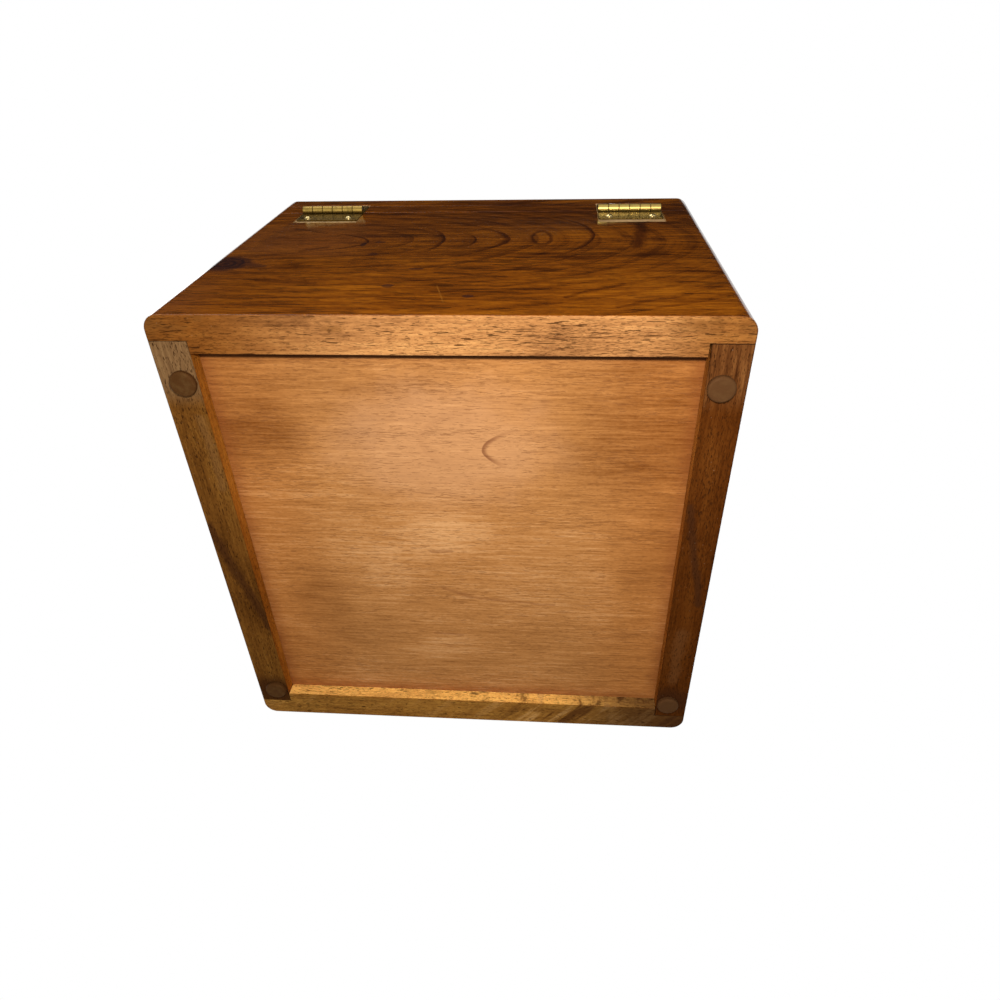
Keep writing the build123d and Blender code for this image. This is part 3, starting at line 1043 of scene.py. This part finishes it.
@dataclass(frozen=True)
class BrassFinish:
    """Brass: clear where it is handled, brown in the hollows, with fine scratches, and darker on the plates:
    partly tarnish, partly a painted dark reflection.
    """

    name: str
    clean: Rgb = (0.44, 0.32, 0.085)
    tarnished: Rgb = (0.13, 0.085, 0.016)
    # Plate colour: partly tarnish, partly a painted dark reflection.
    plate_brown_and_reflection: Rgb = (0.062, 0.031, 0.004)
    gap_brown: Rgb = (0.035, 0.020, 0.005)
    tarnish: float = 0.5
    plate_tarnish_and_reflection: float = 0.75
    roughness: float = 0.27
    gloss: Gloss = Gloss(specular=0.1)

    def material(self) -> bpy.types.Material:
        """Builds the metal's material. The plates are what lies closer to the wood than PLATE_FACE.

        Returns:
            The material.
        """
        material, g, shader = self.gloss.surface(self.name)
        at = g.point()
        x, y, _ = g.split(at)
        blotch = g.noise(at, 0.16, 4.0, 0.6, 2.4)
        speckle = g.noise(at, 1.3, 3.0, 0.6, 5.7)
        brushed = g.noise(at, (0.12, 3.0, 3.0), 2.0, 0.6, 7.9)
        scratch = handling_marks(g, at)[2]
        dull = g.smooth(blotch + 0.35 * (speckle - 0.5), 0.68 - 0.3 * self.tarnish, 0.95 - 0.3 * self.tarnish)
        dull = g.greater(dull, 0.35 * g.smooth(speckle, 0.62, 0.7))
        on_plate = g.smooth(y, PLATE_FACE + 0.2, PLATE_FACE - 0.2)
        # Painted dark reflection, partly tarnish: the plates' colour is darkened as a dark surrounding would
        # show in them.
        plate = self.plate_tarnish_and_reflection * on_plate * g.smooth(speckle, 0.74, 0.42)
        turn = g.math("FRACT", (abs(x) - HINGE_START) / KNUCKLE)
        gap = g.smooth(abs(turn - 0.5), 0.43, 0.485) * g.smooth(y, PLATE_FACE - 0.2, PLATE_FACE + 0.2)
        colour = g.mix(dull, self.clean, self.tarnished)
        for share, tint in ((0.25 * g.smooth(brushed, 0.6, 0.8), self.tarnished), (plate, self.plate_brown_and_reflection),
                            (0.85 * gap, self.gap_brown)):
            colour = g.mix(share, colour, tint)
        feeds = {"Base Color": colour, "Metallic": 1.0 - 0.06 * dull - 0.45 * plate,
                 "Roughness": (self.roughness + 0.22 * dull + 0.12 * (brushed - 0.5) + 0.1 * scratch
                               - 0.14 * plate)}
        dress(g, shader, feeds, 0.006 * (brushed - 0.5) - 0.008 * dull - 0.006 * scratch)
        return material


@dataclass(frozen=True)
class RubberFinish:
    """Dark brown rubber, dusty where it has stood, and paler under the left side."""

    name: str = "foot_rubber"
    clean: Rgb = (0.080, 0.031, 0.008)
    dusty: Rgb = (0.120, 0.058, 0.018)
    left: Rgb = (0.100, 0.043, 0.016)
    gloss: Gloss = Gloss(specular=0.02)

    def material(self) -> bpy.types.Material:
        """Builds the rubber's material.

        Returns:
            The material.
        """
        material, g, shader = self.gloss.surface(self.name)
        at = g.point()
        x, _, z = g.split(at)
        grain = g.noise(at, 2.2, 3.0, 0.6, 3.9)
        cloud = g.noise(at, 0.3, 3.0, 0.6, 8.8)
        dust = g.smooth(cloud, 0.4, 0.7) * g.smooth(z, 1.4, 0.1)
        colour = g.mix(0.6 * dust + 0.3 * g.smooth(grain, 0.55, 0.75), self.clean, self.dusty)
        colour = g.mix(0.6 * g.smooth(x, 10.0, -10.0), colour, self.left)
        dress(g, shader, {"Base Color": colour, "Roughness": 0.55 + 0.25 * dust + 0.1 * (grain - 0.5)},
              0.04 * (grain - 0.5) + 0.03 * (cloud - 0.5))
        return material


@dataclass(frozen=True)
class Finishes:
    """Every material of the box, built once."""

    back: bpy.types.Material
    front: bpy.types.Material
    left: bpy.types.Material
    right: bpy.types.Material
    top: bpy.types.Material
    veneer: bpy.types.Material
    hinge: dict[str, bpy.types.Material]
    pin: bpy.types.Material
    screw: bpy.types.Material
    rubber: bpy.types.Material

    @classmethod
    def build(cls) -> "Finishes":
        """Builds all of them, each board with its own heart line, so that no two boards look alike."""
        return cls(
            back=BackBoardFinish(
                "back_board_varnish", Grain.ALONG_X, (0.0, 117.0, 172.0), taper=0.5, spacing=8.6, sway=4.0,
                seed=0.0, ring_strength=0.22).material(),
            front=FrontBoardFinish(
                "front_board_varnish", Grain.ALONG_X, (0.0, 62.0, -190.0), taper=0.36, spacing=9.5,
                # The front board's recess colour is painted light: far brighter than its wood, as the flash
                # lights that strip.
                sway=10.0, seed=3.7, under=(0.33, 0.138, 0.024), recess_as_lit=(0.98, 0.50, 0.115),
                pore_length=4.0).material(),
            left=SideBoardFinish(
                "left_board_varnish", Grain.ALONG_Y, (0.0, 128.0, -178.0), taper=0.28, spacing=8.0, sway=9.0,
                seed=5.9, under=(0.095, 0.0245, 0.0034), recess_as_lit=(0.36, 0.125, 0.021), pore_length=3.0,
                streak=((-116.0, 34.0, 3.0), (-128.0, -30.0, 3.0)), streak_width=3.0,
                end_wood=(0.135, 0.045, 0.011), end_lines=1.6,
                dark_patch_at_foot=((-122.0, -109.0, 3.0), (13.0, 11.0, 6.0)),
                light_streak=((-122.0, -52.0, 3.0), (-121.0, -90.0, 3.0)), light_share=0.95,
                light_width=5.5).material(),
            right=SideBoardFinish(
                "right_board_varnish", Grain.ALONG_Y, (0.0, 84.0, 186.0), taper=-0.34, spacing=8.8, sway=9.0,
                seed=8.3, under=(0.165, 0.061, 0.0098), recess_as_lit=(0.36, 0.12, 0.014),
                pore_length=3.0).material(),
            top=BoardFinish(
                "lid_top_varnish", Grain.ALONG_X_FLAT, (0.0, 28.0, 262.0), taper=0.40, spacing=9.0, sway=12.0,
                seed=11.9).material(),
            veneer=VeneerFinish().material(),
            hinge={
                "left": BrassFinish("left_hinge_brass", (0.42, 0.29, 0.080), plate_tarnish_and_reflection=0.9,
                                    roughness=0.36).material(),
                # The right hinge's brass is a darker copy of the left's: partly tarnish, partly painted
                # shade, as this hinge catches less of the flash.
                "right": BrassFinish("right_hinge_brass_tarnish_and_shade", (0.29, 0.185, 0.042), tarnish=0.7,
                                     plate_tarnish_and_reflection=0.95, roughness=0.36).material()},
            pin=BrassFinish("pin_brass", tarnish=0.75, roughness=0.3).material(),
            screw=BrassFinish("screw_brass", (0.62, 0.48, 0.21), tarnish=0.35, plate_tarnish_and_reflection=0.0,
                              roughness=0.18).material(),
            rubber=RubberFinish().material(),
        )


def put_in_scene(name: str, data: bpy.types.ID) -> bpy.types.Object:
    """Links an object with this name and data to the scene."""
    thing = bpy.data.objects.new(name, data)
    bpy.context.scene.collection.objects.link(thing)
    return thing


def put_mesh(name: str, points: np.ndarray, faces: list, material: bpy.types.Material) -> bpy.types.Object:
    """Makes an object at the origin from points and faces, with doubles merged and faces outwards.

    Args:
        name: The piece's name.
        points: An array of n by 3, in millimetres.
        faces: Tuples of point numbers.
        material: The piece's finish.

    Returns:
        The object.
    """
    mesh = bpy.data.meshes.new(name)
    mesh.from_pydata((points * MM).tolist(), [], faces)
    shape = bmesh.new()
    shape.from_mesh(mesh)
    bmesh.ops.remove_doubles(shape, verts=shape.verts, dist=NEW_MERGE)
    bmesh.ops.dissolve_degenerate(shape, edges=shape.edges, dist=THIN_FACE)
    bmesh.ops.recalc_face_normals(shape, faces=shape.faces)
    shape.to_mesh(mesh)
    shape.free()
    return place_mesh(name, mesh, material, NEW_SHARP)


def place_mesh(name: str, mesh: bpy.types.Mesh, material: bpy.types.Material,
               smooth_angle: float) -> bpy.types.Object:
    """Shades a mesh smoothly up to an angle, gives it its material and puts it in the scene.

    Args:
        name: The piece's name.
        mesh: The mesh, in metres.
        material: The piece's finish.
        smooth_angle: Edges that turn by more than this many degrees stay sharp.

    Returns:
        The object.
    """
    mesh.polygons.foreach_set("use_smooth", np.ones(len(mesh.polygons), bool))
    mesh.set_sharp_from_angle(angle=math.radians(smooth_angle))
    mesh.materials.clear()
    mesh.materials.append(material)
    return put_in_scene(name, mesh)


def grid_faces(rows: int, columns: int, closed: bool = False) -> list[tuple[int, ...]]:
    """Quads between the neighbours of a grid.

    Args:
        rows: Rows of points.
        columns: Points in a row.
        closed: Whether the last point of a row joins its first.

    Returns:
        Tuples of point numbers, where point j of row i is number i * columns + j.
    """
    i, j = np.meshgrid(np.arange(rows - 1), np.arange(columns if closed else columns - 1), indexing="ij")
    k = (j + 1) % columns
    quads = np.stack([i * columns + j, i * columns + k, (i + 1) * columns + k, (i + 1) * columns + j], -1)
    return [tuple(quad) for quad in quads.reshape(-1, 4).tolist()]


def revolve(radius: np.ndarray, height: np.ndarray, segments: int) -> tuple[np.ndarray, list]:
    """A profile turned round the z axis: x = radius * cos, y = radius * sin, z = height.

    Args:
        radius: The profile's radii. A first or last radius of 0 closes that end in one point.
        height: The profile's heights.
        segments: Points in one turn.

    Returns:
        Points and faces.
    """
    turn = np.linspace(0.0, 2.0 * math.pi, segments, endpoint=False)
    points = np.stack([np.outer(radius, np.cos(turn)), np.outer(radius, np.sin(turn)),
                       np.repeat(height[:, None], segments, 1)], -1)
    return points.reshape(-1, 3), grid_faces(len(radius), segments, True)


def corners_of(node: str) -> tuple[np.ndarray, np.ndarray]:
    """A CAD node's lowest and highest corners, in millimetres."""
    low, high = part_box(node)
    return np.array(low) / MM, np.array(high) / MM


class Body(Enum):
    """The two parts that move against each other."""

    BOX = "box"
    LID = "lid"


def settle(piece: bpy.types.Object, body: Body, node: str) -> bpy.types.Object:
    """Makes a piece ride on its body and hides the node that it stands for."""
    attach(piece, body.value)
    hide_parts(node)
    return piece


def eased_copy(node: str, name: str, body: Body, material: bpy.types.Material,
               width: float) -> bpy.types.Object:
    """A CAD node's shape with its sharp edges eased.

    Args:
        node: The CAD node.
        name: The new piece's name.
        body: The body that it rides on.
        material: Its finish.
        width: The width of the easing, in millimetres.

    Returns:
        The new piece.
    """
    shape = bmesh.new()
    shape.from_mesh(bpy.data.objects[node].data)
    bmesh.ops.remove_doubles(shape, verts=shape.verts, dist=COPY_MERGE)
    bmesh.ops.dissolve_limit(shape, angle_limit=FLAT_TURN, verts=shape.verts, edges=shape.edges)
    mesh = bpy.data.meshes.new(name)
    shape.to_mesh(mesh)
    shape.free()
    piece = place_mesh(name, mesh, material, COPY_SHARP)
    bevel = piece.modifiers.new("eased_edges", "BEVEL")
    bevel.width = width * MM
    bevel.segments = 2
    bevel.limit_method = "ANGLE"
    bevel.angle_limit = math.radians(COPY_SHARP)
    bevel.use_clamp_overlap = False
    bevel.harden_normals = True
    return settle(piece, body, node)


@dataclass
class Boards:
    """Boards and rails, each with its own figure that runs on from the box to the lid."""

    finishes: Finishes
    easing: float = 0.22

    def build(self) -> list[bpy.types.Object]:
        """Makes each board with eased edges, and gives the plywood bottom its finish as it is.

        Returns:
            The boards.
        """
        for slot in bpy.data.objects["bottom_panel"].material_slots:
            slot.material = self.finishes.veneer
        plan = [(f"{board}_panel", f"{board}_board", Body.BOX, board.split("_")[0])
                for board in ("back", "front", "left_side", "right_side")]
        plan += [(f"lid_{side}_rail", f"lid_{side}_edge_board", Body.LID, side)
                 for side in ("back", "front", "left", "right")]
        plan.append(("lid_top_board", "lid_top", Body.LID, "top"))
        return [eased_copy(node, name, body, getattr(self.finishes, side), self.easing)
                for node, name, body, side in plan]


@dataclass
class Feet:
    """Round rubber bumpers under the corners."""

    finishes: Finishes
    edge_radius: float = 1.3
    draft: float = 0.15
    shoulder: float = 0.3
    shoulder_height: float = 0.25
    edge_rings: int = 9
    segments: int = 48

    def build(self) -> list[bpy.types.Object]:
        """Turns each foot from its profile: flat bottom, quarter-round edge, nearly upright side.

        Returns:
            The feet.
        """
        feet = []
        for place in ("front_left", "front_right", "back_left", "back_right"):
            node = f"foot_{place}"
            low, high = corners_of(node)
            outer = 0.5 * (high[0] - low[0])
            tall = high[2] - low[2]
            turn = np.linspace(-0.5 * math.pi, 0.0, self.edge_rings)
            edge = outer - self.edge_radius
            top = outer - self.draft
            radius = np.concatenate([[0.0, 0.5 * edge], edge + self.edge_radius * np.cos(turn),
                                     [top, top - self.shoulder, 0.0]])
            height = np.concatenate([[0.0, 0.0], self.edge_radius * (1.0 + np.sin(turn)),
                                     [tall - self.shoulder_height, tall, tall]])
            points, faces = revolve(radius, height, self.segments)
            points += [0.5 * (low[0] + high[0]), 0.5 * (low[1] + high[1]), low[2]]
            foot = put_mesh(f"rubber_{node}", points, faces, self.finishes.rubber)
            feet.append(settle(foot, Body.BOX, node))
        return feet


@dataclass
class Hinge:
    """One brass butt hinge: two leaves with curled knuckles, a pin and four slotted screws."""

    finishes: Finishes
    side: str
    easing: float = 0.14
    # The height of the pin's domes in radii of the pin, the rings of each, and the points round it.
    dome_height: float = 0.25
    dome_rings: int = 8
    pin_segments: int = 32
    head_rim: float = 0.42
    slot_width: float = 0.75
    slot_floor: float = 0.40
    shank_radius: float = 1.1
    shank_length: float = 9.0
    shank_end: float = 0.6
    shank_overlap: float = 0.2
    shank_segments: int = 20
    # Points of a screw's head: from its slot to its edge, and along the slot.
    rows: int = 15
    columns: int = 27

    def leaves(self) -> list[bpy.types.Object]:
        """The two leaves, with eased edges."""
        return [eased_copy(f"{self.side}_hinge_{body.value}_leaf", f"{self.side}_{body.value}_leaf_brass",
                           body, self.finishes.hinge[self.side], self.easing)
                for body in Body]

    def pin(self) -> bpy.types.Object:
        """The pin: a rod round the x axis whose ends are domes of an eighth of its width.

        Returns:
            The pin.
        """
        node = f"{self.side}_hinge_pin"
        low, high = corners_of(node)
        outer = 0.5 * (high[2] - low[2])
        dome = self.dome_height * outer
        turn = np.linspace(0.0, 0.5 * math.pi, self.dome_rings)
        half = 0.5 * (high[0] - low[0])
        radius = np.concatenate([outer * np.sin(turn), outer * np.cos(turn)])
        length = np.concatenate([-half + dome * (1.0 - np.cos(turn)), half - dome * (1.0 - np.sin(turn))])
        points, faces = revolve(radius, length, self.pin_segments)
        points = points[:, [2, 0, 1]] + 0.5 * (low + high)
        piece = put_mesh(f"{self.side}_pin_brass", points, faces, self.finishes.pin)
        return settle(piece, Body.BOX, node)

    def head(self, outer: float, tall: float) -> tuple[np.ndarray, list]:
        """A domed, slotted screw head that stands up along z from 0.

        Rows lie at steady distances v from the middle line, with a doubled row at each wall of the slot,
        and points along a row at x = u * sqrt(outer squared - v squared). The height is a dome, rim +
        (tall - rim) * (1 - distance squared / outer squared), and in the slot no more than its floor.

        Args:
            outer: The head's radius.
            tall: Its height.

        Returns:
            Points and faces of a closed shape.
        """
        half = 0.5 * self.slot_width
        bank = outer * np.sin(np.linspace(math.asin(half / outer), 0.5 * math.pi, self.rows))
        v = np.concatenate([-bank[::-1], [-half, 0.0, half], bank])
        in_slot = np.zeros(len(v), bool)
        in_slot[self.rows:self.rows + 3] = True
        u = np.sin(np.linspace(-0.5 * math.pi, 0.5 * math.pi, self.columns))
        x = np.sqrt(np.maximum(outer ** 2 - v ** 2, 0.0))[:, None] * u[None, :]
        y = np.repeat(v[:, None], self.columns, 1)
        dome = self.head_rim + (tall - self.head_rim) * (1.0 - (x ** 2 + y ** 2) / outer ** 2)
        upper = np.where(in_slot[:, None], np.minimum(dome, self.slot_floor), dome)
        points = np.concatenate([np.stack([x, y, level], -1).reshape(-1, 3)
                                 for level in (upper, np.zeros_like(x))])
        faces = grid_faces(len(v), self.columns)
        count = len(v) * self.columns
        lower = [tuple(number + count for number in face[::-1]) for face in faces]
        first = np.arange(len(v)) * self.columns
        wall = []
        for edge in (first, first + self.columns - 1):
            quads = np.stack([edge[:-1], edge[1:], edge[1:] + count, edge[:-1] + count], -1)
            wall += [tuple(quad) for quad in quads.tolist()]
        return points, faces + lower + wall

    def screws(self) -> list[bpy.types.Object]:
        """The pairs of screws, one piece for each leaf, with their slots along the pin.

        Returns:
            The pairs.
        """
        pairs = []
        for body in Body:
            node = f"{self.side}_hinge_{body.value}_screws"
            low, high = corners_of(node)
            outer = 0.5 * (high[2] - low[2])
            length, top = self.shank_length, self.shank_overlap
            rod = revolve(np.array([0.0, 0.5, 1.0, 1.0, 0.0]) * self.shank_radius,
                          np.array([-length, -length, self.shank_end - length, top, top]),
                          self.shank_segments)
            points, faces, count = [], [], 0
            for centre in (low[0] + outer, high[0] - outer):
                for part, part_faces in (self.head(outer, high[1] - BACK_FACE), rod):
                    turned = part[:, [0, 2, 1]] * [1.0, 1.0, -1.0]
                    points.append(turned + [centre, BACK_FACE, 0.5 * (low[2] + high[2])])
                    faces += [tuple(number + count for number in face) for face in part_faces]
                    count += len(part)
            pair = put_mesh(f"{self.side}_{body.value}_screws_brass", np.concatenate(points), faces,
                            self.finishes.screw)
            pairs.append(settle(pair, body, node))
        return pairs

    def build(self) -> list[bpy.types.Object]:
        """Builds the whole hinge."""
        return [*self.leaves(), self.pin(), *self.screws()]


@dataclass
class Studio:
    """Pale floor, soft lamps, white surroundings and the camera of the photograph. Lengths in metres."""

    ambient: float = 0.22
    lens: float = 25.8
    camera_place: Triple = (-0.04743, 0.23993, -0.28516)
    forward: Triple = (0.0695, -0.5756, 0.8148)
    upward: Triple = (0.0206, 0.8174, 0.5757)
    # Soft lamps: name, place, height of the point that it faces on the z axis, width, watts.
    lamps: tuple[tuple[str, Triple, float, float, float], ...] = (
        ("key", (-0.9, -1.1, 1.5), 0.1, 1.2, 26.0), ("fill", (1.3, -0.3, 0.9), 0.1, 1.5, 12.0),
        ("back", (0.5, 1.4, 1.0), 0.1, 1.0, 9.0), ("low", (0.0, 0.45, -0.9), 0.0, 0.6, 3.2),
    )
    flash_power: float = 5.6
    flash_degrees: float = 84.0
    flash_radius: float = 0.010
    flash_height: float = 0.05
    floor_half: float = 3.0
    # The floor goes from solid to clear between these distances from the middle, in millimetres.
    floor_fade: tuple[float, float] = (600.0, 1500.0)
    card_low: Triple = (-1.2, 0.14, 1.3)
    card_high: Triple = (1.6, 2.2, 1.3)

    def world(self) -> None:
        """White to the camera and to reflections, and a plain soft light for everything else."""
        world = bpy.data.worlds.new("white_room")
        world.use_nodes = True
        world.node_tree.nodes.clear()
        g = Graph(world.node_tree)
        path = g.node("ShaderNodeLightPath", {})
        seen = g.greater(*(g.wire(path, f"Is {kind} Ray") for kind in ("Camera", "Glossy", "Transmission")))
        strength = self.ambient + (1.0 - self.ambient) * seen
        shader = g.node("ShaderNodeBackground", {"Color": WHITE, "Strength": strength})
        g.node("ShaderNodeOutputWorld", {"Surface": g.wire(shader)})
        bpy.context.scene.world = world

    def light(self) -> None:
        """The soft lamps, and the small round light above the camera, whose beam fades from its middle."""
        for name, place, height, size, power in self.lamps:
            data = bpy.data.lights.new(name, "AREA")
            data.size = size
            data.energy = power
            lamp = put_in_scene(name, data)
            lamp.location = place
            aim = Vector((0.0, 0.0, height)) - Vector(place)
            lamp.rotation_euler = aim.to_track_quat("-Z", "Y").to_euler()
        data = bpy.data.lights.new("camera_light", "SPOT")
        data.energy = self.flash_power
        data.spot_size = math.radians(self.flash_degrees)
        data.spot_blend = 1.0
        data.shadow_soft_size = self.flash_radius
        lamp = put_in_scene("camera_light", data)
        lamp.location = Vector(self.camera_place) + self.flash_height * Vector(self.upward)
        lamp.rotation_euler = Vector(self.forward).to_track_quat("-Z", "Y").to_euler()

    def plane(self, name: str, low: Triple, high: Triple, material: bpy.types.Material, hidden: str) -> None:
        """A level rectangle that isn't part of the box.

        Args:
            name: Its name.
            low: Its lowest corner.
            high: Its highest corner, at the same height.
            material: Its finish.
            hidden: The kinds of rays that don't see it, with spaces between.
        """
        mesh = bpy.data.meshes.new(name)
        corners = [low, (high[0], low[1], low[2]), high, (low[0], high[1], low[2])]
        mesh.from_pydata(corners, [], [(0, 1, 2, 3)])
        mesh.materials.append(material)
        sheet = put_in_scene(name, mesh)
        for ray in hidden.split():
            setattr(sheet, f"visible_{ray}", False)

    def floor(self) -> None:
        """A pale floor with one side, so that the camera under it looks through."""
        material, g = blank_material("floor_paper")
        at = g.point()
        paper = g.mix(g.noise(at, 0.02, 3.0), (0.80, 0.80, 0.79), (0.83, 0.83, 0.82))
        shader = g.node("ShaderNodeBsdfPrincipled", {"Base Color": paper, "Roughness": 0.9,
                                                     "Specular IOR Level": 0.1})
        clear = g.node("ShaderNodeBsdfTransparent", {})
        below = g.wire(g.node("ShaderNodeNewGeometry", {}), "Backfacing")
        share = g.greater(below, g.smooth(g.vectors("LENGTH", at, output="Value"), *self.floor_fade))
        both = g.node("ShaderNodeMixShader", {0: share, 1: g.wire(shader), 2: g.wire(clear)})
        g.node("ShaderNodeOutputMaterial", {"Surface": g.wire(both)})
        half = self.floor_half
        self.plane("floor", (-half, -half, 0.0), (half, half, 0.0), material, "shadow diffuse glossy")

    def card(self) -> None:
        """A dark card overhead that only reflections see, so that the varnish shows the wood's colour."""
        material, g = blank_material("card_black")
        shader = g.node("ShaderNodeEmission", {"Color": (0.02, 0.018, 0.015), "Strength": 1.0})
        g.node("ShaderNodeOutputMaterial", {"Surface": g.wire(shader)})
        self.plane("dark_card", self.card_low, self.card_high, material, "camera diffuse shadow transmission")

    def camera(self) -> None:
        """The camera: its axes are the photograph's right, up and backward directions."""
        forward = Vector(self.forward).normalized()
        right = forward.cross(Vector(self.upward)).normalized()
        data = bpy.data.cameras.new("camera")
        data.sensor_width = 36.0
        data.lens = self.lens
        data.clip_start = 0.01
        camera = put_in_scene("camera", data)
        turn = Matrix((right, right.cross(forward), -forward)).transposed()
        camera.matrix_world = Matrix.Translation(self.camera_place) @ turn.to_4x4()
        bpy.context.scene.camera = camera

    def build(self) -> None:
        """Sets up everything but the box."""
        self.world()
        self.light()
        self.floor()
        self.card()
        self.camera()
        bpy.context.scene.view_settings.view_transform = "Standard"


def clear_start_up() -> None:
    """Removes what a fresh Blender file may hold."""
    for thing in list(bpy.data.objects):
        bpy.data.objects.remove(thing, do_unlink=True)


def main() -> None:
    """Loads the frame, dresses the box and lights it."""
    logging.basicConfig(level=logging.INFO, format="%(name)s: %(message)s")
    clear_start_up()
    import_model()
    finishes = Finishes.build()
    for maker in (Boards(finishes), Feet(finishes), Hinge(finishes, "left"), Hinge(finishes, "right")):
        for piece in maker.build():
            LOG.info("%s, %s: %d faces", type(maker).__name__, piece.name, len(piece.data.polygons))
    Studio().build()


if __name__ == "__main__":
    main()
